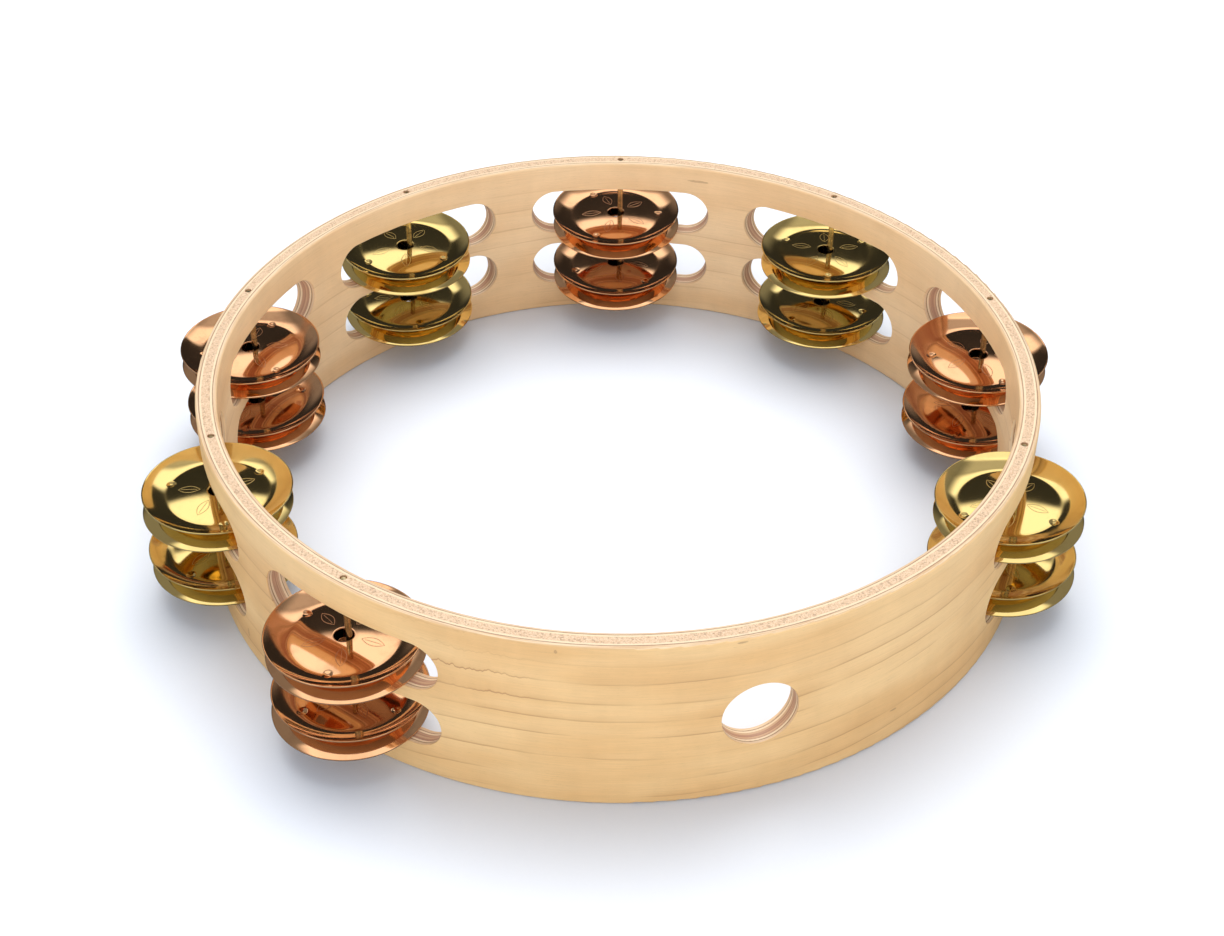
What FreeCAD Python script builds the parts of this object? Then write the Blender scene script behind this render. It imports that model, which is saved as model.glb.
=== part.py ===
"""Headless wooden tambourine: a five-ply hoop with a thumb hole and eight double-row jingle stations.

Millimetres, +Z up. The origin is the centre of the hoop's bottom rim, so the hoop stands on Z = 0
and its axis is Z. The grip, with its thumb hole, faces the player at -Y and a little towards +X.
Stations are numbered counter-clockwise, seen from above, from the first one past the grip.
Each station has one pin and two rows of slots, and each slot holds two discs back to back.
"""

import FreeCAD, Part
import Sketcher
import math
import os

SHEET_CELLS = [
    # the hoop
    ("hoop_outer_radius", 127.0),
    ("hoop_height", 58.0),
    ("face_ply_thickness", 1.3),
    ("crossband_thickness", 0.6),
    ("core_ply_thickness", 2.6),
    ("rim_rounding", 0.9),
    ("mouth_rounding", 0.25),
    # the thumb hole
    ("thumb_hole_radius", 11.0),
    ("thumb_hole_angle", -72.0),
    # the stations and their slots
    ("station_count", 8),
    ("station_pitch_angle", 36.0),
    ("first_station_angle", -18.0),
    ("slot_length", 62.0),
    ("slot_height", 16.5),
    ("slot_web", 4.5),
    # the pins
    ("pin_shank_radius", 0.93),
    ("pin_head_radius", 1.06),
    ("pin_head_height", 0.7),
    ("pin_head_recess", 0.35),
    ("pin_head_dome", 0.15),
    ("pin_head_flat_radius", 0.64),
    ("pin_tip_level", 4.0),
    ("pin_tip_radius", 0.25),
    ("pin_point_length", 2.4),
    ("pin_hole_clearance", 0.01),
    # the jingle discs
    ("disc_radius", 22.2),
    ("disc_height", 3.0),
    ("disc_hole_radius", 2.8),
    ("disc_thickness", 0.5),
    ("disc_crease_radius", 15.3),
    ("disc_dome_rise", 1.4),
    ("disc_flange_bend_radius", 18.6),
    ("disc_crease_rounding", 5.0),
    ("disc_edge_rounding", 0.2),
    ("disc_lip_rounding", 0.4),
    ("dimple_count", 3),
    ("dimple_circle_radius", 15.0),
    ("dimple_ball_radius", 1.9),
    ("dimple_height", 0.3),
    # how the discs lie at rest
    ("disc_gap", 0.35),
    ("floor_gap", 0.2),
    ("side_play", 1.5),
    ("lean_angle", 1.0),
]

ROWS = ("lower", "upper")
HALVES = ("bottom", "top")
# each pair of discs has come to rest turned by this much more than the last
SPIN_STEP_ANGLE = 47.0
# the hoop was last slid sideways, so each station's discs have moved off their pin: which way, seen from
# above and anticlockwise from +X, and by how much the single discs differ from that
PLAY_DIRECTIONS = (170.0, 186.0, 195.0, 175.0, 195.0, 190.0, 125.0, 147.0)
PLAY_SPREAD = 15.0
PLAY_STEP_ANGLE = 137.5
# how far each station's discs lean on the slot floor, in lean angles: above 0 the inner side is low
LEANS = (1.9, 2.2, 0.5, 2.6, 2.0, -0.9, -0.2, 0.4)

# two radii nearer than this are the same
RADIUS_SLACK = 0.01
# the share of its turned band that a ply keeps once its slots and holes are cut
LEAST_KEPT_SHARE = 0.6
MOST_KEPT_SHARE = 0.85

X_AXIS = FreeCAD.Vector(1, 0, 0)
Y_AXIS = FreeCAD.Vector(0, 1, 0)
Z_AXIS = FreeCAD.Vector(0, 0, 1)
FULL_TURN = 360.0

doc = FreeCAD.newDocument("tambourine")


# ------------------------------------------------------------------ the sheet


def driving_sheet():
    """The spreadsheet that every size is bound to."""
    sheet = doc.addObject("Spreadsheet::Sheet", "dims")
    for row, (alias, number) in enumerate(SHEET_CELLS, start=1):
        sheet.set(f"A{row}", alias.replace("_", " "))
        sheet.set(f"B{row}", str(number))
        sheet.setAlias(f"B{row}", alias)
    doc.recompute()
    return sheet


class Size:
    """A size worked out from the sheet: its value now, and the expression that keeps it bound."""

    def __init__(self, value, text):
        self.value = value
        self.text = text

    @staticmethod
    def of(other):
        return other if isinstance(other, Size) else Size(float(other), str(other))

    def _combine(self, other, sign, value):
        return Size(value, f"({self.text} {sign} {Size.of(other).text})")

    def __add__(self, other):
        return self._combine(other, "+", self.value + Size.of(other).value)

    def __sub__(self, other):
        return self._combine(other, "-", self.value - Size.of(other).value)

    def __mul__(self, other):
        return self._combine(other, "*", self.value * Size.of(other).value)

    def __truediv__(self, other):
        return self._combine(other, "/", self.value / Size.of(other).value)

    def __neg__(self):
        return Size(-self.value, f"(0 - {self.text})")


dims = driving_sheet()


def cell(alias):
    return Size(float(getattr(dims, alias)), f"dims.{alias}")


SKIN_THICKNESS = cell("face_ply_thickness") + cell("crossband_thickness")
WALL_THICKNESS = SKIN_THICKNESS * 2 + cell("core_ply_thickness")
PIN_CIRCLE = cell("hoop_outer_radius") - WALL_THICKNESS / 2
ROW_OFFSET = (cell("slot_web") + cell("slot_height")) / 2
ROW_LEVELS = {
    "lower": cell("hoop_height") / 2 - ROW_OFFSET,
    "upper": cell("hoop_height") / 2 + ROW_OFFSET,
}
STATION_SWEEP = cell("station_pitch_angle") * (cell("station_count") - 1)


# ------------------------------------------------------------------ building helpers


def new_body(label):
    body = doc.addObject("PartDesign::Body", label)
    body.Label = label
    return body


def origin_feature(body, role):
    return next(f for f in body.Origin.OriginFeatures if f.Role == role)


def plane_sketch(body, name, role):
    """A sketch on one of the body's own origin planes."""
    sketch = body.newObject("Sketcher::SketchObject", name)
    sketch.AttachmentSupport = [(origin_feature(body, role), "")]
    sketch.MapMode = "FlatFace"
    return sketch


def turned_plane_sketch(body, name, role, axis, angle):
    """A sketch on an origin plane that is turned about one of the sketch's own axes."""
    sketch = plane_sketch(body, name, role)
    sketch.AttachmentOffset = FreeCAD.Placement(FreeCAD.Vector(), FreeCAD.Rotation(axis, 1.0))
    sketch.setExpression(".AttachmentOffset.Rotation.Angle", angle.text)
    return sketch


def bind(sketch, kind, *geometry, size):
    """Adds a dimension to a sketch, bound to the sheet."""
    index = sketch.addConstraint(Sketcher.Constraint(kind, *geometry, size.value))
    sketch.setExpression(f"Constraints[{index}]", size.text)


def fix_point(sketch, geometry, vertex, across, up):
    """Places a sketch point by its distances from the sketch's origin. None puts it on that axis."""
    if across is None:
        sketch.addConstraint(Sketcher.Constraint("PointOnObject", geometry, vertex, -2))
    else:
        bind(sketch, "DistanceX", -1, 1, geometry, vertex, size=across)
    if up is None:
        sketch.addConstraint(Sketcher.Constraint("PointOnObject", geometry, vertex, -1))
    else:
        bind(sketch, "DistanceY", -1, 1, geometry, vertex, size=up)


def line(sketch, start, end):
    """Adds a straight line between two (across, up) places, and returns its index."""
    return sketch.addGeometry(Part.LineSegment(FreeCAD.Vector(*start, 0), FreeCAD.Vector(*end, 0)))


def arc(sketch, centre, radius, first, last):
    """Adds an arc that runs counter-clockwise between two angles in radians, and returns its index."""
    whole = Part.Circle(FreeCAD.Vector(*centre, 0), Z_AXIS, radius)
    return sketch.addGeometry(Part.ArcOfCircle(whole, first, last))


def closed_outline(sketch, corners):
    """Straight lines round the (across, up) corners. None is a corner on that axis."""
    here = [(x.value if x else 0, y.value if y else 0) for x, y in corners]
    count = len(corners)
    for n in range(count):
        line(sketch, here[n], here[(n + 1) % count])
    for n, (across, up) in enumerate(corners):
        sketch.addConstraint(Sketcher.Constraint("Coincident", n, 2, (n + 1) % count, 1))
        fix_point(sketch, n, 1, across, up)


def circle(sketch, across, up, radius):
    centre = FreeCAD.Vector(across.value if across else 0, up.value if up else 0, 0)
    index = sketch.addGeometry(Part.Circle(centre, Z_AXIS, radius.value))
    fix_point(sketch, index, 3, across, up)
    bind(sketch, "Radius", index, size=radius)


def stadium(sketch, level, length, height):
    """A slot with full-round ends, centred across the sketch at this level."""
    radius = height / 2
    reach = (length - height) / 2
    low = level.value - radius.value
    high = level.value + radius.value
    far = reach.value
    floor = line(sketch, (-far, low), (far, low))
    right = arc(sketch, (far, level.value), radius.value, -math.pi / 2, math.pi / 2)
    ceiling = line(sketch, (far, high), (-far, high))
    left = arc(sketch, (-far, level.value), radius.value, math.pi / 2, 3 * math.pi / 2)
    loop = (floor, right, ceiling, left)
    for n, piece in enumerate(loop):
        sketch.addConstraint(Sketcher.Constraint("Tangent", piece, 2, loop[(n + 1) % 4], 1))
    sketch.addConstraint(Sketcher.Constraint("Horizontal", floor))
    bind(sketch, "Radius", right, size=radius)
    fix_point(sketch, right, 3, reach, level)
    fix_point(sketch, left, 3, -reach, level)


def revolve(body, name, sketch):
    feature = body.newObject("PartDesign::Revolution", name)
    feature.Profile = sketch
    feature.ReferenceAxis = (sketch, ["V_Axis"])
    feature.Angle = FULL_TURN
    doc.recompute()
    return feature


def pocket_through(body, name, sketch):
    """Cuts along the sketch's normal, all the way out."""
    feature = body.newObject("PartDesign::Pocket", name)
    feature.Profile = sketch
    feature.Type = "ThroughAll"
    feature.Reversed = True
    return feature


def polar_pattern(body, name, originals, sweep, count):
    pattern = body.newObject("PartDesign::PolarPattern", name)
    pattern.Originals = originals
    pattern.Axis = (origin_feature(body, "Z_Axis"), [""])
    pattern.setExpression("Angle", sweep.text)
    pattern.setExpression("Occurrences", count.text)
    body.Tip = pattern
    doc.recompute()
    return pattern


def fillet(body, name, base, edges, radius):
    feature = body.newObject("PartDesign::Fillet", name)
    feature.Base = (base, edges)
    feature.setExpression("Radius", radius.text)
    body.Tip = feature
    doc.recompute()
    return feature


def round_edges(shape, radius, slack=RADIUS_SLACK, low=-math.inf, high=math.inf):
    """The names of the shape's whole circles of this radius whose centres lie between two levels."""
    names = []
    for n, edge in enumerate(shape.Edges, start=1):
        if not isinstance(edge.Curve, Part.Circle) or not edge.isClosed():
            continue
        if abs(edge.Curve.Radius - radius) <= slack and low <= edge.Curve.Center.z <= high:
            names.append(f"Edge{n}")
    return names


def mouth_edges(shape, radius):
    """The names of the edges round every opening in the shape's wall of this radius."""
    names = []
    for face in shape.Faces:
        if not isinstance(face.Surface, Part.Cylinder) or abs(face.Surface.Radius - radius) > RADIUS_SLACK:
            continue
        for wire in face.Wires:
            if wire.isSame(face.OuterWire):
                continue
            for edge in wire.Edges:
                names += [f"Edge{n}" for n, e in enumerate(shape.Edges, start=1) if e.isSame(edge)]
    return names


def clone(master, label, placement):
    """Another piece of the same shape, in its own place."""
    body = new_body(label)
    base = doc.addObject("PartDesign::FeatureBase", label + "_shape")
    body.Group = [base]
    base.BaseFeature = master
    body.Tip = base
    body.Placement = placement
    return body


# ------------------------------------------------------------------ the hoop


def band_section(sketch, plain, rounded):
    """A ply's section, with both corners on its rounded side cut back to arcs."""
    height = cell("hoop_height")
    radius = cell("rim_rounding")
    side = 1 if rounded.value > plain.value else -1
    wall = rounded.value
    back = plain.value
    start = wall - side * radius.value
    top = height.value
    low = radius.value
    high = top - low

    floor = line(sketch, (back, 0), (start, 0))
    face = line(sketch, (wall, low), (wall, high))
    ceiling = line(sketch, (start, top), (back, top))
    rear = line(sketch, (back, top), (back, 0))
    # an arc always runs counter-clockwise, so on an inner face its ends change places
    if side > 0:
        low_arc = arc(sketch, (start, low), low, -math.pi / 2, 0)
        high_arc = arc(sketch, (start, high), low, 0, math.pi / 2)
    else:
        low_arc = arc(sketch, (start, low), low, math.pi, 3 * math.pi / 2)
        high_arc = arc(sketch, (start, high), low, math.pi / 2, math.pi)
    first, last = (1, 2) if side > 0 else (2, 1)
    tangents = (
        (floor, 2, low_arc, first),
        (low_arc, last, face, 1),
        (face, 2, high_arc, first),
        (high_arc, last, ceiling, 1),
    )
    for tangent in tangents:
        sketch.addConstraint(Sketcher.Constraint("Tangent", *tangent))
    sketch.addConstraint(Sketcher.Constraint("Coincident", ceiling, 2, rear, 1))
    sketch.addConstraint(Sketcher.Constraint("Coincident", rear, 2, floor, 1))
    sketch.addConstraint(Sketcher.Constraint("Horizontal", floor))
    sketch.addConstraint(Sketcher.Constraint("Horizontal", ceiling))
    sketch.addConstraint(Sketcher.Constraint("Vertical", face))
    sketch.addConstraint(Sketcher.Constraint("Vertical", rear))
    bind(sketch, "Radius", low_arc, size=radius)
    bind(sketch, "Radius", high_arc, size=radius)
    bind(sketch, "DistanceX", -1, 1, face, 1, size=rounded)
    fix_point(sketch, floor, 1, plain, None)
    bind(sketch, "DistanceY", -1, 1, ceiling, 2, size=height)


def hoop_ply(label, outer, thickness, rounded_side=None):
    """One ply: a turned band with every station's two slots and the thumb hole cut through it.

    A face ply has the hoop's rounded rims, and its openings have softened mouths, on its rounded side.
    """
    inner = outer - thickness
    height = cell("hoop_height")
    body = new_body(label)
    section = plane_sketch(body, label + "_section", "XZ_Plane")
    if rounded_side == "outer":
        band_section(section, inner, outer)
    elif rounded_side == "inner":
        band_section(section, outer, inner)
    else:
        closed_outline(section, [(inner, None), (outer, None), (outer, height), (inner, height)])
    revolve(body, label + "_band", section)

    station = cell("first_station_angle") + 90
    slots = turned_plane_sketch(body, label + "_slots", "XZ_Plane", Y_AXIS, station)
    for row in ROWS:
        stadium(slots, ROW_LEVELS[row], cell("slot_length"), cell("slot_height"))
    pair = pocket_through(body, label + "_slot_pair", slots)
    polar_pattern(body, label + "_stations", [pair], STATION_SWEEP, cell("station_count"))

    grip = cell("thumb_hole_angle") + 90
    thumb = turned_plane_sketch(body, label + "_thumb", "XZ_Plane", Y_AXIS, grip)
    circle(thumb, None, height / 2, cell("thumb_hole_radius"))
    hole = pocket_through(body, label + "_thumb_hole", thumb)
    body.Tip = hole
    doc.recompute()
    if rounded_side:
        wall = outer if rounded_side == "outer" else inner
        fillet(body, label + "_mouths", hole, mouth_edges(hole.Shape, wall.value), cell("mouth_rounding"))
    return body


def drill_pin_holes(body):
    """Each pin's hole runs down through the core ply, with a wider seat for its head at the top rim."""
    clearance = cell("pin_hole_clearance")
    head_seat = cell("hoop_height") - cell("pin_head_recess") - cell("pin_head_height")
    steps = (
        ("shank", cell("pin_tip_level") - clearance, cell("pin_shank_radius") + clearance),
        ("head", head_seat - clearance, cell("pin_head_radius") + clearance),
    )
    for name, level, radius in steps:
        outline = f"pin_{name}_circle"
        sketch = turned_plane_sketch(body, outline, "XY_Plane", Z_AXIS, cell("first_station_angle"))
        sketch.setExpression(".AttachmentOffset.Base.z", level.text)
        circle(sketch, PIN_CIRCLE, None, radius)
        drilled = pocket_through(body, f"pin_{name}_hole", sketch)
        polar_pattern(body, f"pin_{name}_holes", [drilled], STATION_SWEEP, cell("station_count"))


def build_hoop():
    """The five plies, from the outside in."""
    plies = (
        ("hoop_outer_face_ply", cell("face_ply_thickness"), "outer"),
        ("hoop_outer_crossband", cell("crossband_thickness"), None),
        ("hoop_core_ply", cell("core_ply_thickness"), None),
        ("hoop_inner_crossband", cell("crossband_thickness"), None),
        ("hoop_inner_face_ply", cell("face_ply_thickness"), "inner"),
    )
    outer = cell("hoop_outer_radius")
    made = {}
    for label, thickness, rounded_side in plies:
        made[label] = hoop_ply(label, outer, thickness, rounded_side)
        outer = outer - thickness
    drill_pin_holes(made["hoop_core_ply"])
    return list(made.values())


# ------------------------------------------------------------------ the pins


def station_angle(number):
    return cell("first_station_angle").value + (number - 1) * cell("station_pitch_angle").value


def on_pin_circle(number, level):
    angle = math.radians(station_angle(number))
    return FreeCAD.Vector(PIN_CIRCLE.value * math.cos(angle), PIN_CIRCLE.value * math.sin(angle), level)


def pin_master():
    """A brass nail: a pointed shank with a small domed head, its axis on Z."""
    shank = cell("pin_shank_radius")
    head = cell("pin_head_radius")
    tip = cell("pin_tip_level")
    top = cell("hoop_height") - cell("pin_head_recess")
    under_head = top - cell("pin_head_height")
    body = new_body("jingle_pin")
    profile = plane_sketch(body, "pin_profile", "XZ_Plane")
    corners = [
        (None, tip),
        (cell("pin_tip_radius"), tip),
        (shank, tip + cell("pin_point_length")),
        (shank, under_head),
        (head, under_head),
        (head, top - cell("pin_head_dome")),
        (cell("pin_head_flat_radius"), top),
        (None, top),
    ]
    closed_outline(profile, corners)
    revolve(body, "pin_turned", profile)
    return body


def build_pins():
    master = pin_master()
    pins = []
    for station in range(1, int(dims.station_count) + 1):
        placement = FreeCAD.Placement(on_pin_circle(station, 0), FreeCAD.Rotation())
        pins.append(clone(master, f"jingle_pin_{station}", placement))
    return pins


# ------------------------------------------------------------------ the jingle discs


def disc_profile(sketch):
    """Half the disc's section: a shallow dome round the hole, a crease, and a flange curving up to the rim.

    The crease's underside lies at level 0, and both sides of the sheet are concentric arcs.
    """
    sheet = cell("disc_thickness")
    hole = cell("disc_hole_radius")
    crease = cell("disc_crease_radius")
    rise = cell("disc_dome_rise")
    rim = cell("disc_radius")
    height = cell("disc_height")
    bend = cell("disc_flange_bend_radius")
    dome = (crease * crease + rise * rise) / (rise * 2)

    # a first guess at the flange's centre, which the constraints then make exact
    lean = math.atan2(height.value - sheet.value, rim.value - crease.value)
    chord = math.hypot(height.value - sheet.value, rim.value - crease.value)
    deep = math.sqrt(bend.value**2 - chord**2 / 4)
    flange_centre = (
        (crease.value + rim.value) / 2 - deep * math.sin(lean),
        (height.value - sheet.value) / 2 + deep * math.cos(lean),
    )
    dome_centre = (0.0, rise.value - dome.value)
    at_crease = math.atan2(-dome_centre[1], crease.value)
    at_hole = math.acos(hole.value / dome.value)
    flange_start = math.atan2(-flange_centre[1], crease.value - flange_centre[0])
    flange_end = math.atan2(height.value - sheet.value - flange_centre[1], rim.value - flange_centre[0])

    under_dome = arc(sketch, dome_centre, dome.value, at_crease, at_hole)
    under_flange = arc(sketch, flange_centre, bend.value, flange_start, flange_end)
    over_flange = arc(sketch, flange_centre, bend.value - sheet.value, flange_start, flange_end)
    over_dome = arc(sketch, dome_centre, dome.value + sheet.value, at_crease, at_hole)
    rim_edge, hole_edge = [
        sketch.addGeometry(Part.LineSegment(sketch.getPoint(near, 2), sketch.getPoint(far, 2)))
        for near, far in ((under_flange, over_flange), (over_dome, under_dome))
    ]

    joins = (
        (under_dome, 1, under_flange, 1),
        (under_flange, 2, rim_edge, 1),
        (rim_edge, 2, over_flange, 2),
        (over_flange, 1, over_dome, 1),
        (over_dome, 2, hole_edge, 1),
        (hole_edge, 2, under_dome, 2),
        (under_dome, 3, over_dome, 3),
        (under_flange, 3, over_flange, 3),
    )
    for join in joins:
        sketch.addConstraint(Sketcher.Constraint("Coincident", *join))
    sketch.addConstraint(Sketcher.Constraint("PointOnObject", under_dome, 3, -2))
    sketch.addConstraint(Sketcher.Constraint("Vertical", rim_edge))
    sketch.addConstraint(Sketcher.Constraint("Vertical", hole_edge))
    bind(sketch, "Radius", under_dome, size=dome)
    bind(sketch, "Radius", over_dome, size=dome + sheet)
    bind(sketch, "Radius", under_flange, size=bend)
    bind(sketch, "Radius", over_flange, size=bend - sheet)
    bind(sketch, "DistanceX", -1, 1, hole_edge, 1, size=hole)
    fix_point(sketch, under_dome, 1, crease, None)
    fix_point(sketch, rim_edge, 2, rim, height)


def sphere_at_dimple(body, kind, name, radius):
    """A ball centred above the first dimple, as an added or a removed feature."""
    ball = body.newObject(kind, name)
    ball.AttachmentSupport = [(origin_feature(body, "XY_Plane"), "")]
    ball.MapMode = "FlatFace"
    ball.setExpression("Radius", radius.text)
    centre_level = cell("dimple_ball_radius") - cell("dimple_height")
    ball.setExpression(".AttachmentOffset.Base.x", cell("dimple_circle_radius").text)
    ball.setExpression(".AttachmentOffset.Base.z", centre_level.text)
    return ball


def disc_master():
    """One spun and pressed disc, open side up, with its crease's underside at Z = 0."""
    sheet = cell("disc_thickness")
    body = new_body("jingle_disc")
    profile = plane_sketch(body, "disc_section", "XZ_Plane")
    disc_profile(profile)
    spun = revolve(body, "disc_spun", profile)

    rims = round_edges(spun.Shape, cell("disc_radius").value)
    rim = fillet(body, "disc_rim", spun, rims, cell("disc_edge_rounding"))
    above = cell("disc_dome_rise").value + sheet.value / 2
    lip_edges = round_edges(rim.Shape, cell("disc_hole_radius").value, low=above)
    lip = fillet(body, "disc_lip", rim, lip_edges, cell("disc_lip_rounding"))
    crease = cell("disc_crease_radius").value
    middle = sheet.value / 2
    inside = round_edges(lip.Shape, crease, slack=sheet.value, low=middle, high=2 * sheet.value)
    hollow = fillet(body, "disc_crease_inside", lip, inside, cell("disc_crease_rounding"))
    outside = round_edges(hollow.Shape, crease, slack=sheet.value, low=-middle, high=middle / 2)
    fillet(body, "disc_crease_outside", hollow, outside, cell("disc_crease_rounding") + sheet)

    ball = cell("dimple_ball_radius")
    nub = sphere_at_dimple(body, "PartDesign::AdditiveSphere", "dimple_nub", ball)
    # only the cap below the middle of the sheet is added
    cap_top = (sheet / 2 + cell("dimple_height") - ball) / ball
    nub.setExpression("Angle2", f"asin({cap_top.text})")
    pit = sphere_at_dimple(body, "PartDesign::SubtractiveSphere", "dimple_pit", ball - sheet)
    polar_pattern(body, "dimples", [nub, pit], Size(FULL_TURN, str(FULL_TURN)), cell("dimple_count"))
    return body


def disc_placement(station, row, half):
    """Where a disc lies at rest: just above its slot's floor, a little off the pin's axis, and leaning."""
    index = (station * len(ROWS) + ROWS.index(row)) * len(HALVES) + HALVES.index(half)
    angle = math.radians(station_angle(station))
    inward_low = FreeCAD.Vector(-math.sin(angle), math.cos(angle), 0)
    lean = LEANS[station - 1] * dims.lean_angle
    tilt = FreeCAD.Rotation(inward_low, -lean)
    # leaning lowers one edge of the strip of disc that lies in the wall, so the pair starts higher
    lift = (WALL_THICKNESS.value / 2 + dims.side_play) * math.sin(math.radians(abs(lean)))
    floor = ROW_LEVELS[row].value - dims.slot_height / 2
    middle = on_pin_circle(station, floor + dims.floor_gap + lift + dims.disc_height + dims.disc_gap / 2)

    spread = PLAY_SPREAD * math.sin(math.radians(index * PLAY_STEP_ANGLE))
    play_angle = math.radians(PLAY_DIRECTIONS[station - 1] + spread)
    side = 1 if half == "top" else -1
    from_middle = FreeCAD.Vector(
        dims.side_play * math.cos(play_angle),
        dims.side_play * math.sin(play_angle),
        side * dims.disc_gap / 2,
    )
    # the dimples of a pair stay half a pitch apart, so that they never meet
    half_pitch = FULL_TURN / (2 * dims.dimple_count)
    pair_index = index // len(HALVES)
    spin = pair_index * SPIN_STEP_ANGLE + HALVES.index(half) * half_pitch
    turn = FreeCAD.Rotation(Z_AXIS, spin)
    if half == "bottom":
        turn = turn.multiply(FreeCAD.Rotation(X_AXIS, 180))
    return FreeCAD.Placement(middle + tilt.multVec(from_middle), tilt.multiply(turn))


def build_discs():
    master = disc_master()
    discs = []
    for station in range(1, int(dims.station_count) + 1):
        for row in ROWS:
            for half in HALVES:
                label = f"jingle_{station}_{row}_row_{half}_disc"
                discs.append(clone(master, label, disc_placement(station, row, half)))
    return discs


# ------------------------------------------------------------------ checks and files


def check_document():
    """Stops if any object failed, or any piece isn't one valid solid."""
    for item in doc.Objects:
        if {"Invalid", "Error"} & set(item.State):
            raise RuntimeError(f"{item.Label} failed: {item.State}")
    for body in pieces:
        shape = body.Shape
        if shape.isNull() or not shape.isValid() or len(shape.Solids) != 1:
            raise RuntimeError(f"{body.Label} isn't one valid solid")


def check_cuts(ply):
    """Stops if the slots and holes took away too little or too much of a ply's turned band."""
    band = next(feature for feature in ply.Group if feature.TypeId == "PartDesign::Revolution")
    share = ply.Shape.Volume / band.Shape.Volume
    if not LEAST_KEPT_SHARE < share < MOST_KEPT_SHARE:
        raise RuntimeError(f"{ply.Label} keeps {share:.3f} of its band, so a cut went astray")


def write_pieces():
    os.makedirs("parts", exist_ok=True)
    for body in pieces:
        body.Shape.exportStep(f"parts/{body.Label}.step")


plies = build_hoop()
pieces = plies + build_pins() + build_discs()
doc.recompute()
check_document()
for ply in plies:
    check_cuts(ply)
write_pieces()
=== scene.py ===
"""The looks of a headless wooden tambourine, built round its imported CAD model.

Metres, +Z up. The hoop's axis is Z and its bottom rim lies on Z = 0. Shading works in millimetres.
The hoop's five plies and the pins are the CAD's own meshes with new materials. The discs are turned
here as finer meshes, and each is set in a place fitted to its CAD node.
"""

import math

import bpy
import numpy as np
from mathutils import Matrix, Vector


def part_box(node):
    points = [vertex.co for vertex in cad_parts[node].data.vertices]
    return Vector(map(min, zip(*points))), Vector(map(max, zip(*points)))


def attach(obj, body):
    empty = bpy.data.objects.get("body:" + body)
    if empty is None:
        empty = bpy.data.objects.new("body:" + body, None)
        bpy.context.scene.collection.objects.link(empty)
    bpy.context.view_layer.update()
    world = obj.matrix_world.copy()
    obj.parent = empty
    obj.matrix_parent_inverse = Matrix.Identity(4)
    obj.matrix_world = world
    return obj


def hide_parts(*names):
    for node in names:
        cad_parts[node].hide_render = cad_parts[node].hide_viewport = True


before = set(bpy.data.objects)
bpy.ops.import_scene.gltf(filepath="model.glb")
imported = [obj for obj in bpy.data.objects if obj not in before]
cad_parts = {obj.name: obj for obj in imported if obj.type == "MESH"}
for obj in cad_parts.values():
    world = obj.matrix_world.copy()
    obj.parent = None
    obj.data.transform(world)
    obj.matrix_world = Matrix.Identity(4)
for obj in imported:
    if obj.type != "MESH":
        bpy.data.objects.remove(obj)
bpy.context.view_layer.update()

MM = 0.001
DEGREES = 180 / math.pi
STATIONS = range(1, 9)


# ------------------------------------------------------------------ node trees as formulas


class Value:
    """A number worked out at every shaded point, so that shading can be written as a formula."""

    def __init__(self, tree, socket):
        self.tree = tree
        self.socket = socket

    def __add__(self, other):
        return self.tree.math("ADD", self, other)

    def __radd__(self, other):
        return self.tree.math("ADD", other, self)

    def __sub__(self, other):
        return self.tree.math("SUBTRACT", self, other)

    def __rsub__(self, other):
        return self.tree.math("SUBTRACT", other, self)

    def __mul__(self, other):
        return self.tree.math("MULTIPLY", self, other)

    def __truediv__(self, other):
        return self.tree.math("DIVIDE", self, other)

    def __pow__(self, other):
        return self.tree.math("POWER", self, other)

    def __abs__(self):
        return self.tree.math("ABSOLUTE", self)

    def fraction(self):
        return self.tree.math("FRACT", self)

    def sine(self):
        return self.tree.math("SINE", self)

    def cosine(self):
        return self.tree.math("COSINE", self)


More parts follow.
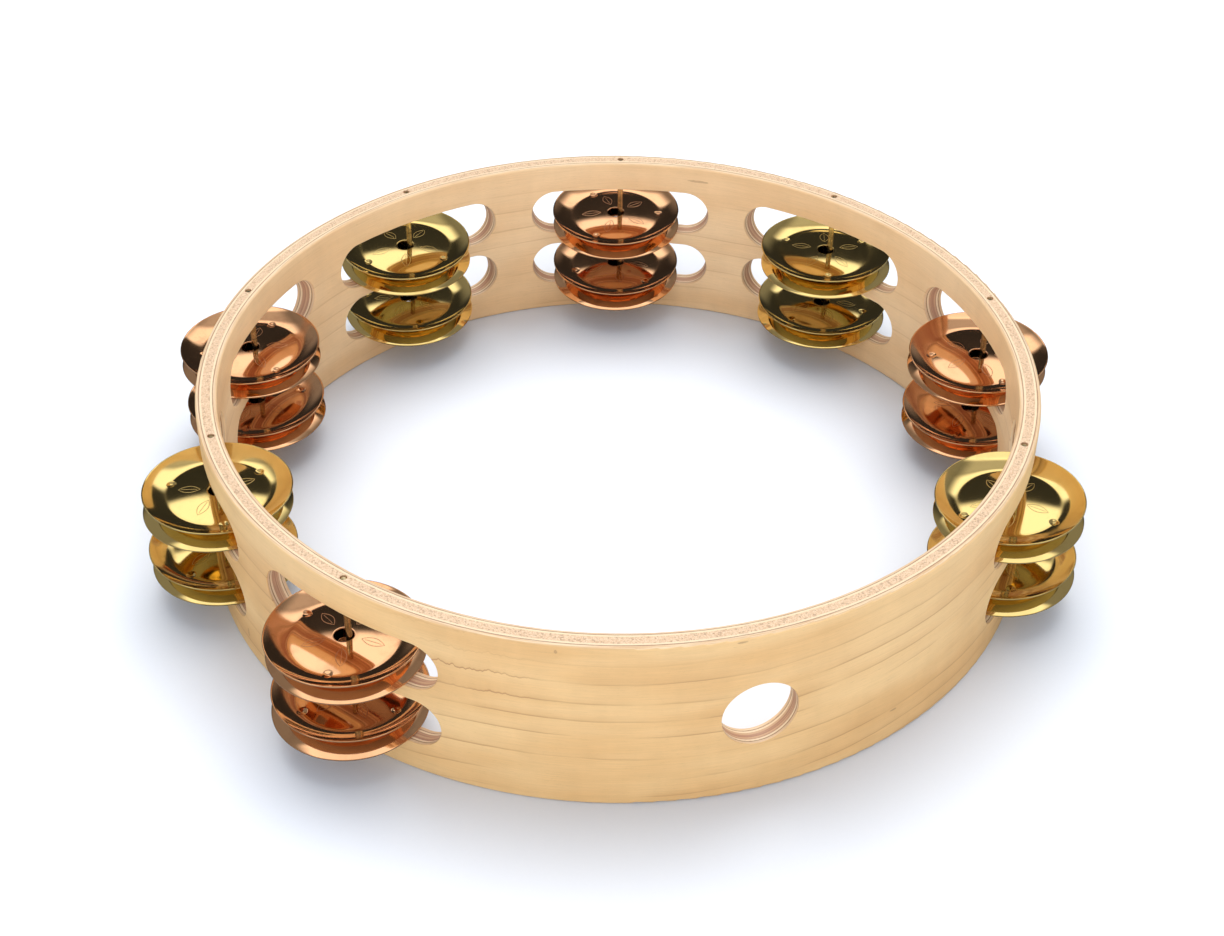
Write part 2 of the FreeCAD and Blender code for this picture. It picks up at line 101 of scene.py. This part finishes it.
class Tree:
    """A material's or a world's node tree, emptied and ready to be filled by formulas."""

    def __init__(self, owner):
        owner.use_nodes = True
        self.nodes = owner.node_tree.nodes
        self.links = owner.node_tree.links
        self.nodes.clear()

    def put(self, socket, value):
        """Feeds a socket from a Value, from another socket, or with a plain number or colour."""
        if isinstance(value, Value):
            self.links.new(value.socket, socket)
        elif isinstance(value, bpy.types.NodeSocket):
            self.links.new(value, socket)
        else:
            socket.default_value = value

    def node(self, kind, settings=None, **inputs):
        """Adds a node. Underscores in an input's name stand for spaces."""
        made = self.nodes.new(kind)
        for key, value in (settings or {}).items():
            setattr(made, key, value)
        for key, value in inputs.items():
            self.put(made.inputs[key.replace("_", " ")], value)
        return made

    def math(self, operation, *numbers):
        made = self.node("ShaderNodeMath", {"operation": operation})
        for socket, number in zip(made.inputs, numbers):
            self.put(socket, number)
        return Value(self, made.outputs[0])

    def larger(self, a, b):
        return self.math("MAXIMUM", a, b)

    def smaller(self, a, b):
        return self.math("MINIMUM", a, b)

    def arctan2(self, y, x):
        return self.math("ARCTAN2", y, x)

    def split(self, vector):
        made = self.node("ShaderNodeSeparateXYZ", Vector=vector)
        return [Value(self, out) for out in made.outputs]

    def random(self):
        """A number between 0 and 1 that is different for each piece."""
        return Value(self, self.node("ShaderNodeObjectInfo").outputs["Random"])

    def join(self, x, y, z):
        return self.node("ShaderNodeCombineXYZ", X=x, Y=y, Z=z).outputs[0]

    def rise(self, value, start, end):
        """0 up to start, 1 from end on, and smooth between them. It falls if end is below start."""
        low, high = (0.0, 1.0) if start < end else (1.0, 0.0)
        made = self.node("ShaderNodeMapRange", {"interpolation_type": "SMOOTHSTEP"}, Value=value)
        for key, number in zip(
            ("From Min", "From Max", "To Min", "To Max"), (min(start, end), max(start, end), low, high)
        ):
            made.inputs[key].default_value = number
        return Value(self, made.outputs[0])

    def noise(self, vector, detail=2.0, roughness=0.5):
        """Smooth noise round 0.5, with features about one unit of the vector across."""
        made = self.node("ShaderNodeTexNoise", Vector=vector, Scale=1.0, Detail=detail, Roughness=roughness)
        return Value(self, made.outputs[0])

    def grit(self, vector):
        """A different random number in each cell about one unit across."""
        made = self.node("ShaderNodeTexVoronoi", {"feature": "F1"}, Vector=vector, Scale=1.0)
        return Value(self, self.node("ShaderNodeSeparateColor", Color=made.outputs["Color"]).outputs[0])

    def blend(self, factor, first, second):
        """A colour between two others. A colour is a socket or a tuple."""
        made = self.node("ShaderNodeMix", {"data_type": "RGBA"})
        self.put(made.inputs["Factor"], factor)
        for name, colour in (("A", first), ("B", second)):
            socket = next(s for s in made.inputs if s.name == name and s.type == "RGBA")
            self.put(socket, colour)
        return next(s for s in made.outputs if s.type == "RGBA")

    def scaled(self, colour, factor):
        """A colour made lighter or darker by a factor."""
        made = self.node("ShaderNodeVectorMath", {"operation": "SCALE"})
        self.put(made.inputs[0], colour[:3] if isinstance(colour, tuple) else colour)
        self.put(made.inputs["Scale"], factor)
        return made.outputs[0]

    def place(self):
        """The shaded point in its piece's own frame, in millimetres."""
        point = self.node("ShaderNodeTexCoord").outputs["Object"]
        return [axis * (1 / MM) for axis in self.split(point)]

    def surface(self, height=None, height_mm=0.1, **inputs):
        """Ends the tree with a Principled surface, raised by height (0 to 1) times height_mm."""
        if height is not None:
            bump = self.node("ShaderNodeBump", Height=height, Distance=height_mm * MM, Strength=1.0)
            inputs["Normal"] = bump.outputs[0]
        shader = self.node("ShaderNodeBsdfPrincipled", **inputs)
        out = self.node("ShaderNodeOutputMaterial")
        self.links.new(shader.outputs[0], out.inputs["Surface"])


def material(name):
    made = bpy.data.materials.new(name)
    return made, Tree(made)


def srgb(red, green, blue):
    """A screen colour, 0 to 255, as the linear colour that shading works in."""
    def linear(level):
        share = level / 255
        return share / 12.92 if share <= 0.04045 else ((share + 0.055) / 1.055) ** 2.4

    return (linear(red), linear(green), linear(blue), 1.0)


# ------------------------------------------------------------------ the hoop's sizes, in millimetres


def wall_radii():
    """The radii of the hoop's inner and outer walls."""
    inner_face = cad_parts["hoop_inner_face_ply"].data.vertices
    inner = min(math.hypot(vertex.co.x, vertex.co.y) for vertex in inner_face)
    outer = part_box("hoop_outer_face_ply")[1].x
    return inner / MM, outer / MM


INNER_WALL, OUTER_WALL = wall_radii()
WALL_MIDDLE = (INNER_WALL + OUTER_WALL) / 2
HALF_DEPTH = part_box("hoop_core_ply")[1].z / MM / 2


# ------------------------------------------------------------------ wood


# the lighter and darker tones of each face ply, which come from different sheets of veneer
OUTER_TONES = (srgb(233, 194, 136), srgb(222, 176, 115))
INNER_TONES = (srgb(242, 206, 158), srgb(232, 190, 138))
GROWTH_LINE = srgb(180, 128, 78)
MINERAL_LINE = srgb(150, 104, 68)
GLUE_BROWN = srgb(146, 100, 68)
EDGE_PALE = srgb(234, 208, 170)
EDGE_WARM = srgb(214, 174, 130)
CORE_PINK = srgb(208, 168, 130)
CORE_CREAM = srgb(230, 202, 166)
CORE_DARK = srgb(158, 118, 88)
CUT_BROWN = srgb(182, 134, 104)

INNER_CONTRAST = 0.45
LINE_SPACING = 7.0
LINE_DROP = 5.2
LINE_STRENGTH = 0.60
HALO_STRENGTH = 0.18
# the front left of the wall has a run of disturbed grain, between two angles and above a level
DISTURBED_FROM = -120.0
DISTURBED_TO = -98.0
DISTURBED_ABOVE = 36.0
DISTURBED_STRENGTH = 0.30
DISTURBED_SWING = 5.0


def long_grain(tree, x, y, z, wall_radius, tones, contrast):
    """Colour and relief of maple veneer whose grain runs round the hoop.

    Every pattern is read in x, y and z, so it has no seam. Squeezing x and y makes it long. The
    contrast is that of the growth lines.
    """
    slow = tree.noise(tree.join(x * 0.009, y * 0.009, z * 0.010), detail=1.0)
    wave = tree.noise(tree.join(x * 0.045, y * 0.045, z * 0.06), detail=2.0)
    jag = tree.noise(tree.join(x * 0.25, y * 0.25, 2.0), detail=3.0)
    angle = tree.arctan2(y, x) * DEGREES
    disturbed = tree.rise(angle, DISTURBED_TO, DISTURBED_TO - 4.0)
    disturbed = disturbed * tree.rise(angle, DISTURBED_FROM, DISTURBED_FROM + 5.0)
    disturbed = disturbed * tree.rise(z, DISTURBED_ABOVE, DISTURBED_ABOVE + 4.0)
    level = z - x * (LINE_DROP / wall_radius) + (slow - 0.5) * 10.0 + (wave - 0.5) * 1.4
    level = level + (jag - 0.5) * disturbed * DISTURBED_SWING
    spacing = tree.noise(tree.join(level * 0.06, 3.0, 7.0), detail=1.0)
    phase = (level / LINE_SPACING + spacing * 1.2).fraction()
    # a growth line is sharp on its lower side and fades out above
    line = tree.rise(phase, 0.0, 0.03) * tree.rise(phase, 0.12, 0.04)
    halo = tree.rise(phase, 0.0, 0.04) * tree.rise(phase, 0.55, 0.04)
    patch = tree.noise(tree.join(x * 0.03, y * 0.03, z * 0.07 + 31.0), detail=2.0)
    below_top = tree.rise(z, 51.0, 44.0)
    shown = tree.rise(patch, 0.34, 0.6) * (below_top * 0.8 + 0.2) * contrast

    fibre = tree.noise(tree.join(x * 0.10, y * 0.10, z * 3.4), detail=4.0, roughness=0.65)
    figure = tree.noise(tree.join(x * 0.14, y * 0.14, z * 0.05), detail=2.0)
    cloud = tree.noise(tree.join(x * 0.016, y * 0.016, z * 0.07 + 11.0), detail=2.0)
    fleck = tree.rise(tree.noise(tree.join(x * 0.6, y * 0.6, z * 5.5 + 5.0), detail=1.0), 0.64, 0.74)
    pore = tree.rise(tree.noise(tree.join(x * 0.35, y * 0.35, z * 9.0), detail=1.0), 0.70, 0.78)

    colour = tree.blend(tree.rise(cloud, 0.3, 0.7), *tones)
    shade = 1.0 + (fibre - 0.5) * 0.26 + (figure - 0.5) * 0.14 - fleck * 0.09 - pore * 0.10
    colour = tree.scaled(colour, shade)
    colour = tree.blend(halo * shown * HALO_STRENGTH, colour, GROWTH_LINE)
    strength = LINE_STRENGTH + disturbed * DISTURBED_STRENGTH
    colour = tree.blend(line * shown * strength, colour, GROWTH_LINE)
    return colour, fibre * 0.7 - line * shown * 0.3


def blemish(tree, x, y, z, angle, level, half_length, half_height):
    """A soft-edged spot on the wall, 1 in its middle, with a ragged outline."""
    turn = math.radians(angle)
    along = y * math.cos(turn) - x * math.sin(turn)
    ahead = x * math.cos(turn) + y * math.sin(turn)
    ragged = tree.noise(tree.join(x * 1.1, y * 1.1, z * 1.1), detail=2.0)
    across = (along / half_length) ** 2.0 + ((z - level) / half_height) ** 2.0
    return tree.rise(across + (ragged - 0.5) * 1.4, 1.0, 0.5) * tree.rise(ahead, 0.0, 1.0)


# (angle round the hoop, level, half length, half height, strength)
OUTER_BLEMISHES = (
    (-75.0, 56.6, 1.8, 0.35, 0.5),
    (-97.0, 55.8, 0.5, 0.9, 0.45),
    (-52.0, 11.0, 1.4, 0.4, 0.5),
    (-148.0, 8.0, 0.7, 1.8, 0.4),
    (48.0, 55.5, 6.0, 1.6, 0.4),
    (140.0, 30.0, 2.4, 0.8, 0.5),
)
INNER_BLEMISHES = (
    (172.0, 22.0, 0.6, 3.6, 0.7),
    (5.0, 22.0, 0.6, 3.2, 0.7),
    (77.0, 53.0, 4.0, 0.5, 0.4),
    (118.0, 12.0, 3.0, 0.5, 0.4),
)


def face_veneer(name, wall_radius, side, tones, contrast, blemishes):
    """A face ply: long grain on its wall, and a cut edge everywhere else. Side is 1 for the outer ply."""
    made, tree = material(name)
    x, y, z = tree.place()
    radius = (x * x + y * y) ** 0.5
    depth = (wall_radius - radius) * side
    on_wall = tree.rise(depth, 0.5, 0.1)
    face, relief = long_grain(tree, x, y, z, wall_radius, tones, contrast)
    for angle, level, half_length, half_height, strength in blemishes:
        spot = blemish(tree, x, y, z, angle, level, half_length, half_height)
        face = tree.blend(spot * strength, face, MINERAL_LINE)

    streak = tree.noise(tree.join(x * 0.35, y * 0.35, z * 0.5), detail=4.0, roughness=0.7)
    layer = tree.noise(tree.join(radius * 5.0, x * 0.05, y * 0.05), detail=2.0)
    edge = tree.blend(tree.rise(layer, 0.35, 0.65), EDGE_WARM, EDGE_PALE)
    edge = tree.blend(tree.rise(depth + (streak - 0.5) * 0.5, 0.85, 1.15) * 0.8, edge, GLUE_BROWN)
    edge = tree.scaled(edge, 0.86 + streak * 0.28)
    # hands and cases have worn the lacquer along the rims
    worn = tree.noise(tree.join(x * 0.12, y * 0.12, z * 0.5), detail=3.0)
    gloss = tree.noise(tree.join(x * 0.2, y * 0.2, z * 0.4), detail=2.0)
    tree.surface(
        height=relief + (streak - 0.5) * (1.0 - on_wall) * 0.8,
        height_mm=0.03,
        Base_Color=tree.blend(on_wall, edge, face),
        Roughness=0.40 + gloss * 0.14 + tree.rise(worn, 0.5, 0.7) * 0.12 * (1.0 - on_wall),
        Coat_Weight=0.22,
        Coat_Roughness=0.30,
    )
    return made


def crossband_veneer():
    """The thin pale plies, seen only edge on."""
    made, tree = material("crossband_veneer")
    x, y, z = tree.place()
    streak = tree.noise(tree.join(x * 0.8, y * 0.8, z * 0.8), detail=4.0, roughness=0.7)
    nick = tree.rise(tree.noise(tree.join(x * 0.25, y * 0.25, z), detail=2.0), 0.6, 0.72)
    colour = tree.scaled(EDGE_PALE, 0.92 + streak * 0.2 - nick * 0.12)
    tree.surface(height=streak, height_mm=0.04, Base_Color=colour, Roughness=0.5, Coat_Weight=0.1)
    return made


def core_veneer():
    """The thick core ply. Its grain stands upright, so the rims show speckled end grain."""
    made, tree = material("core_veneer")
    x, y, z = tree.place()
    radius = (x * x + y * y) ** 0.5
    on_rim = tree.rise(abs(z - HALF_DEPTH), HALF_DEPTH - 0.5, HALF_DEPTH - 0.1)
    speck = tree.grit(tree.join(x * 2.2, y * 2.2, z * 0.4))
    fine = tree.noise(tree.join(x * 2.6, y * 2.6, z * 0.35), detail=3.0, roughness=0.7)
    bands = tree.noise(tree.join(radius * 2.0, x * 0.04, y * 0.04), detail=2.0)
    rim = tree.blend(tree.rise(fine, 0.35, 0.65), CORE_PINK, CORE_CREAM)
    rim = tree.blend(tree.rise(speck, 0.74, 0.95) * 0.55, rim, CORE_DARK)
    cut = tree.blend(tree.rise(bands, 0.40, 0.60), CUT_BROWN, CORE_PINK)
    cut = tree.scaled(cut, 0.88 + fine * 0.24)
    colour = tree.blend(on_rim, cut, rim)
    tree.surface(height=fine, height_mm=0.05, Base_Color=colour, Roughness=0.55, Coat_Weight=0.1)
    return made


# ------------------------------------------------------------------ metal


BRASS = (0.86, 0.65, 0.26, 1.0)
BRASS_TARNISH = (0.56, 0.36, 0.10, 1.0)
COPPER = (0.89, 0.50, 0.27, 1.0)
COPPER_TARNISH = (0.48, 0.20, 0.10, 1.0)
PIN_METAL = (0.78, 0.64, 0.40, 1.0)
PIN_TARNISH = (0.42, 0.33, 0.18, 1.0)

LEAF_COUNT = 5
LEAF_CENTRE = 8.6
LEAF_HALF_LENGTH = 3.3
LEAF_HALF_WIDTH = 1.5


def leaf_outline(tree, radius, angle):
    """1 along the thin engraved outlines of plain leaves that stand round the disc's hole."""
    sector = 2 * math.pi / LEAF_COUNT
    folded = ((angle / sector + 8.0).fraction() - 0.5) * sector
    along = (radius * folded.cosine() - LEAF_CENTRE) / LEAF_HALF_LENGTH
    across = abs(radius * folded.sine()) / LEAF_HALF_WIDTH
    # two arcs that meet in points: a parabola on each side
    edge = across + along * along - 1.0
    outline = tree.rise(abs(edge), 0.09, 0.04)
    vein = tree.rise(across, 0.07, 0.03) * tree.rise(abs(along), 0.75, 0.7)
    return tree.larger(outline, vein)


def spun_sheet(name, base, tarnish):
    """Sheet metal spun and polished on a lathe, with its engraved leaves, fine rings and handling marks."""
    made, tree = material(name)
    x, y, z = tree.place()
    radius = (x * x + y * y) ** 0.5
    angle = tree.arctan2(y, x)
    # each disc shows its own stretch of the patterns
    shift = tree.random() * 40.0
    ring = tree.noise(tree.join(radius * 6.0, shift, 0.3), detail=3.0, roughness=0.6)
    scratch = tree.noise(tree.join(x * 0.5 + shift, y * 9.0, 0.7), detail=2.0)
    scratch = tree.rise(scratch, 0.70, 0.76)
    smudge = tree.noise(tree.join(x * 0.11 + shift, y * 0.11, z * 0.1), detail=4.0, roughness=0.6)
    engraved = leaf_outline(tree, radius, angle)
    # tarnish stays where polishing cloths don't reach
    crease = tree.rise(abs(radius - CREASE_RADIUS), 1.2, 0.0)
    lip = tree.rise(radius, 4.6, 3.2)
    dull = tree.rise(smudge, 0.48, 0.78) * 0.40 + crease * 0.30 + lip * 0.25
    colour = tree.blend(tree.smaller(dull, 0.8), base, tarnish)
    colour = tree.blend(engraved * 0.75, colour, tarnish)
    tree.surface(
        height=ring * 0.05 - engraved * 1.0 - scratch * 0.06 + smudge * 0.3,
        height_mm=0.012,
        Base_Color=colour,
        Metallic=1.0,
        Roughness=0.045 + smudge * 0.06 + dull * 0.08 + engraved * 0.3 + scratch * 0.05,
    )
    return made


def drawn_wire():
    """The pins' dull drawn brass, with rubbed rings where the discs ride."""
    made, tree = material("drawn_brass")
    x, y, z = tree.place()
    band = tree.noise(tree.join(x * 0.6, y * 0.6, z * 1.4), detail=3.0)
    rubbed = tree.noise(tree.join(x * 2.0, y * 2.0, z * 7.0), detail=2.0)
    colour = tree.blend(tree.rise(band, 0.35, 0.7), PIN_METAL, PIN_TARNISH)
    tree.surface(
        height=rubbed, height_mm=0.01, Base_Color=colour, Metallic=1.0, Roughness=0.14 + band * 0.16
    )
    return made


# ------------------------------------------------------------------ the discs, turned from their section


DISC_HEIGHT = 3.0
SHEET_THICKNESS = 0.5
HOLE_RADIUS = 2.8
CREASE_RADIUS = 15.3
DOME_RISE = 1.4
FLANGE_START_SLOPE = 0.15
CREASE_SOFTNESS = 0.22
DIMPLE_COUNT = 3
DIMPLE_CIRCLE = 15.0
DIMPLE_RADIUS = 1.5
DIMPLE_DEPTH = 0.38
SHEET_STEPS = 84
EDGE_STEPS = 8
PLAIN_TURNS = 180
DIMPLE_TURNS = 25
DIMPLE_ARC = 7.0


def sheet_middle(radius, rim):
    """The level of the middle of the sheet at a radius, below the rim's highest point."""
    half = SHEET_THICKNESS / 2
    out = radius - CREASE_RADIUS
    reach = rim - half - CREASE_RADIUS
    bend = (DISC_HEIGHT - SHEET_THICKNESS - FLANGE_START_SLOPE * reach) / reach**2
    dome = DOME_RISE * (1 - (radius / CREASE_RADIUS) ** 2)
    flange = np.where(out > 0, FLANGE_START_SLOPE * out + bend * out**2, FLANGE_START_SLOPE * out)
    bottom = half - DISC_HEIGHT
    return bottom + (dome + flange + np.sqrt((dome - flange) ** 2 + CREASE_SOFTNESS**2)) / 2


def disc_section(rim):
    """The disc's closed section as radii and levels, in millimetres: underside, rim, upper side, lip."""
    half = SHEET_THICKNESS / 2
    radius = np.linspace(HOLE_RADIUS + half, rim - half, SHEET_STEPS)
    level = sheet_middle(radius, rim)
    slope = np.arctan(np.gradient(level, radius))
    turn = np.linspace(-math.pi / 2, math.pi / 2, EDGE_STEPS + 2)[1:-1]
    pieces = (
        (radius + half * np.sin(slope), level - half * np.cos(slope)),
        (radius[-1] + half * np.cos(turn + slope[-1]), level[-1] + half * np.sin(turn + slope[-1])),
        ((radius - half * np.sin(slope))[::-1], (level + half * np.cos(slope))[::-1]),
        (radius[0] - half * np.cos(turn - slope[0]), level[0] + half * np.sin(turn[::-1] + slope[0])),
    )
    return np.concatenate([p[0] for p in pieces]), np.concatenate([p[1] for p in pieces])


def disc_turns():
    """The angles round the disc at which its section is set, closer together at the dimples."""
    turns = set(np.arange(0, 360, 360 / PLAIN_TURNS).round(4))
    for number in range(DIMPLE_COUNT):
        middle = number * 360 / DIMPLE_COUNT
        near = np.linspace(middle - DIMPLE_ARC, middle + DIMPLE_ARC, DIMPLE_TURNS)
        turns |= set((near % 360).round(4))
    return np.radians(sorted(turns))


def disc_mesh(name, rim):
    """A disc with its rim's highest circle at level 0, its open side up, and a dimple on +X."""
    radius, level = disc_section(rim)
    turns = disc_turns()
    x = np.outer(np.cos(turns), radius)
    y = np.outer(np.sin(turns), radius)
    z = np.tile(level, (len(turns), 1))
    for number in range(DIMPLE_COUNT):
        angle = 2 * math.pi * number / DIMPLE_COUNT
        off = np.hypot(x - DIMPLE_CIRCLE * math.cos(angle), y - DIMPLE_CIRCLE * math.sin(angle))
        z -= DIMPLE_DEPTH * np.clip(1 - (off / DIMPLE_RADIUS) ** 2, 0, 1) ** 1.5
    rows, columns = x.shape
    first = np.arange(rows * columns).reshape(rows, columns)
    after = np.roll(first, -1, axis=0)
    quads = np.stack([first, after, np.roll(after, -1, axis=1), np.roll(first, -1, axis=1)], axis=-1)
    mesh = bpy.data.meshes.new(name)
    points = np.stack([x, y, z], axis=-1).reshape(-1, 3) * MM
    mesh.from_pydata(points.tolist(), [], quads.reshape(-1, 4).tolist())
    mesh.polygons.foreach_set("use_smooth", [True] * len(mesh.polygons))
    mesh.update()
    return mesh


def disc_place(node):
    """A CAD disc's rim radius, and its place, in which Z points to its open side and X through a dimple.

    The rim's highest circle is at 0. Its plane is fitted to the rim's outermost points, and is good to
    about a degree.
    """
    points = np.array([vertex.co for vertex in node.data.vertices], float)
    middle = points.mean(axis=0)
    rough_axis = np.linalg.svd(points - middle, full_matrices=False)[2][2]
    aside = points - middle
    aside -= np.outer(aside @ rough_axis, rough_axis)
    reach = np.linalg.norm(aside, axis=1)
    rim = points[reach > 0.996 * reach.max()]
    rim_middle = rim.mean(axis=0)
    across, _, axis = np.linalg.svd(rim - rim_middle, full_matrices=False)[2]
    if (middle - rim_middle) @ axis > 0:
        axis = -axis
    along = np.cross(axis, across)

    # the circle through the rim's points, by least squares
    u = (rim - rim_middle) @ across
    v = (rim - rim_middle) @ along
    fit = np.linalg.lstsq(np.stack([2 * u, 2 * v, np.ones_like(u)], axis=1), u * u + v * v, rcond=None)[0]
    radius = math.sqrt(fit[2] + fit[0] ** 2 + fit[1] ** 2)
    centre = rim_middle + fit[0] * across + fit[1] * along
    level = (points - centre) @ axis
    origin = centre + axis * level.max()

    nubs = points[level < level.min() + 0.1 * MM] - origin
    phase = np.angle(np.exp(DIMPLE_COUNT * 1j * np.arctan2(nubs @ along, nubs @ across)).sum())
    phase /= DIMPLE_COUNT
    x_axis = math.cos(phase) * across + math.sin(phase) * along
    y_axis = np.cross(axis, x_axis)
    place = Matrix([[*row, o] for row, o in zip(np.stack([x_axis, y_axis, axis], axis=1), origin)])
    return radius, Matrix([*place, (0, 0, 0, 1)])


def build_discs():
    """The discs, in the places of the CAD's own. Those of one metal share a mesh."""
    looks = {
        "brass": spun_sheet("spun_brass", BRASS, BRASS_TARNISH),
        "copper": spun_sheet("spun_copper", COPPER, COPPER_TARNISH),
    }
    meshes = {}
    for number in STATIONS:
        metal = "brass" if number % 2 else "copper"
        for row in ("lower", "upper"):
            for half in ("bottom", "top"):
                name = f"jingle_{number}_{row}_row_{half}_disc"
                radius, place = disc_place(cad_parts[name])
                if metal not in meshes:
                    meshes[metal] = disc_mesh(f"{metal}_disc", radius / MM)
                    meshes[metal].materials.append(looks[metal])
                piece = bpy.data.objects.new(f"spun_{name}", meshes[metal])
                bpy.context.scene.collection.objects.link(piece)
                piece.matrix_world = place
                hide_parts(name)
                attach(piece, name)


# ------------------------------------------------------------------ dressing the CAD's own pieces


def dress(piece, look):
    piece.data.materials.clear()
    piece.data.materials.append(look)


def dress_hoop():
    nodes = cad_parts
    outer = face_veneer("outer_face_veneer", OUTER_WALL, 1, OUTER_TONES, 1.0, OUTER_BLEMISHES)
    inner = face_veneer("inner_face_veneer", INNER_WALL, -1, INNER_TONES, INNER_CONTRAST, INNER_BLEMISHES)
    dress(nodes["hoop_outer_face_ply"], outer)
    dress(nodes["hoop_inner_face_ply"], inner)
    dress(nodes["hoop_core_ply"], core_veneer())
    crossband = crossband_veneer()
    for side in ("outer", "inner"):
        dress(nodes[f"hoop_{side}_crossband"], crossband)


def dress_pins():
    wire = drawn_wire()
    for number in STATIONS:
        dress(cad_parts[f"jingle_pin_{number}"], wire)


dress_hoop()
dress_pins()
build_discs()


# ------------------------------------------------------------------ the stage


FLOOR_SIZE = 6.0
FLOOR_COLOUR = (0.87, 0.91, 0.96, 1.0)
CONTACT_REACH = 62.0
CONTACT_SHADE = 0.16
MIRRORED_SHADE = 0.75

AMBIENT = 0.62
AMBIENT_TINT = (0.86, 0.95, 1.10, 1.0)
LAMP = 3.3
LAMP_PITCH = 64.0
LAMP_TINT = (1.03, 1.0, 0.97, 1.0)
FILL = 1.15
FILL_TINT = (1.02, 1.0, 0.98, 1.0)
PANEL_TINT = (1.0, 0.99, 0.96, 1.0)
BACKDROP_TINT = (1.0, 1.0, 1.0, 1.0)

# each panel's softened first and last pitch, its softened reach to either side, and its strength
PANELS = (
    ((38.0, 42.0), (56.0, 64.0), (0.35, 0.55), 1.45),
    ((56.0, 66.0), (84.0, 92.0), (0.35, 0.55), 0.50),
    ((82.0, 88.0), (112.0, 126.0), (0.50, 0.70), 1.25),
)
FRONT_GLOW = 0.25
SIDE_GLOW = 0.22
DARKEST = 0.03


def floor():
    """White paper with painted shade near the hoop's foot. The discs mirror it darker than it is."""
    bpy.ops.mesh.primitive_plane_add(size=FLOOR_SIZE, location=(0, 0, 0))
    piece = bpy.context.object
    piece.name = "floor"
    made, tree = material("paper_sweep")
    x, y, z = tree.place()
    tooth = tree.noise(tree.join(x * 0.8, y * 0.8, 0.0), detail=3.0)
    from_hoop = abs((x * x + y * y) ** 0.5 - WALL_MIDDLE)
    # painted shade: the paper's colour is darkened near the hoop's wall, darkest at its foot, and fades out
    # over the reach
    painted_shade = tree.rise(from_hoop, CONTACT_REACH, 4.0) * CONTACT_SHADE
    glossy = Value(tree, tree.node("ShaderNodeLightPath").outputs["Is Glossy Ray"])
    level = (0.99 + tooth * 0.02) * (1.0 - glossy * MIRRORED_SHADE) * (1.0 - painted_shade)
    tree.surface(Base_Color=tree.scaled(FLOOR_COLOUR, level), Roughness=0.9)
    dress(piece, made)


def studio():
    """Soft light for matt things, softbox panels for mirrors to see, and white for the camera."""
    world = bpy.data.worlds.new("studio")
    bpy.context.scene.world = world
    tree = Tree(world)
    direction = tree.node("ShaderNodeTexCoord").outputs["Generated"]
    x, y, z = tree.split(direction)
    # pitch runs from 0 at the far horizon, over the top at 90, to 180 at the near horizon
    pitch = tree.arctan2(z, y) * DEGREES
    aside = abs(x)
    front = tree.rise(pitch, 112.0, 128.0) * FRONT_GLOW
    sides = tree.rise(aside, 0.35, 0.6) * tree.rise(z, 0.1, 0.35) * SIDE_GLOW
    mirrored = DARKEST + front + sides
    for (start, full), (fading, end), (near, far), strength in PANELS:
        panel = tree.rise(pitch, start, full) * tree.rise(pitch, end, fading) * tree.rise(aside, far, near)
        mirrored = mirrored + panel * strength
    # matt things are lit by a lamp above and behind, and by a fill from the viewer's side
    lamp_pitch = math.radians(LAMP_PITCH)
    towards_lamp = y * math.cos(lamp_pitch) + z * math.sin(lamp_pitch)
    lamp = tree.rise(towards_lamp, 0.78, 0.97)
    fill = tree.rise(pitch, 128.0, 150.0)
    # beyond the paper's far edge the camera sees the same white
    rays = tree.node("ShaderNodeLightPath").outputs
    seen = Value(tree, rays["Is Camera Ray"])
    glossy = Value(tree, rays["Is Glossy Ray"])
    matt = (1.0 - glossy) * (1.0 - seen)
    lights = (
        (BACKDROP_TINT, seen),
        (AMBIENT_TINT, matt * AMBIENT),
        (LAMP_TINT, matt * lamp * LAMP),
        (FILL_TINT, matt * fill * FILL),
        (PANEL_TINT, glossy * mirrored),
    )
    total = None
    for tint, strength in lights:
        light = tree.node("ShaderNodeBackground", Color=tint, Strength=strength).outputs[0]
        if total is None:
            total = light
        else:
            both = tree.node("ShaderNodeAddShader")
            tree.links.new(total, both.inputs[0])
            tree.links.new(light, both.inputs[1])
            total = both.outputs[0]
    out = tree.node("ShaderNodeOutputWorld")
    tree.links.new(total, out.inputs["Surface"])


VIEW_ELEVATION = 39.1
VIEW_ROLL = 0.60
VIEW_DISTANCE = 0.6792
VIEW_LENS = 62.3
VIEW_SENSOR = 36.0
VIEW_SHIFT = (-0.0040, 0.0361)


def camera():
    """The view from the front and well above, towards the middle of the bottom rim."""
    data = bpy.data.cameras.new("camera")
    piece = bpy.data.objects.new("camera", data)
    bpy.context.scene.collection.objects.link(piece)
    elevation = math.radians(VIEW_ELEVATION)
    back = Vector((0, -math.cos(elevation), math.sin(elevation)))
    rotation = (-back).to_track_quat("-Z", "Y").to_matrix()
    roll = Matrix.Rotation(math.radians(VIEW_ROLL), 3, "Z")
    piece.matrix_world = Matrix.Translation(back * VIEW_DISTANCE) @ (rotation @ roll).to_4x4()
    data.lens = VIEW_LENS
    data.sensor_width = VIEW_SENSOR
    data.shift_x, data.shift_y = VIEW_SHIFT
    bpy.context.scene.camera = piece


floor()
studio()
camera()
bpy.context.scene.view_settings.view_transform = "Standard"
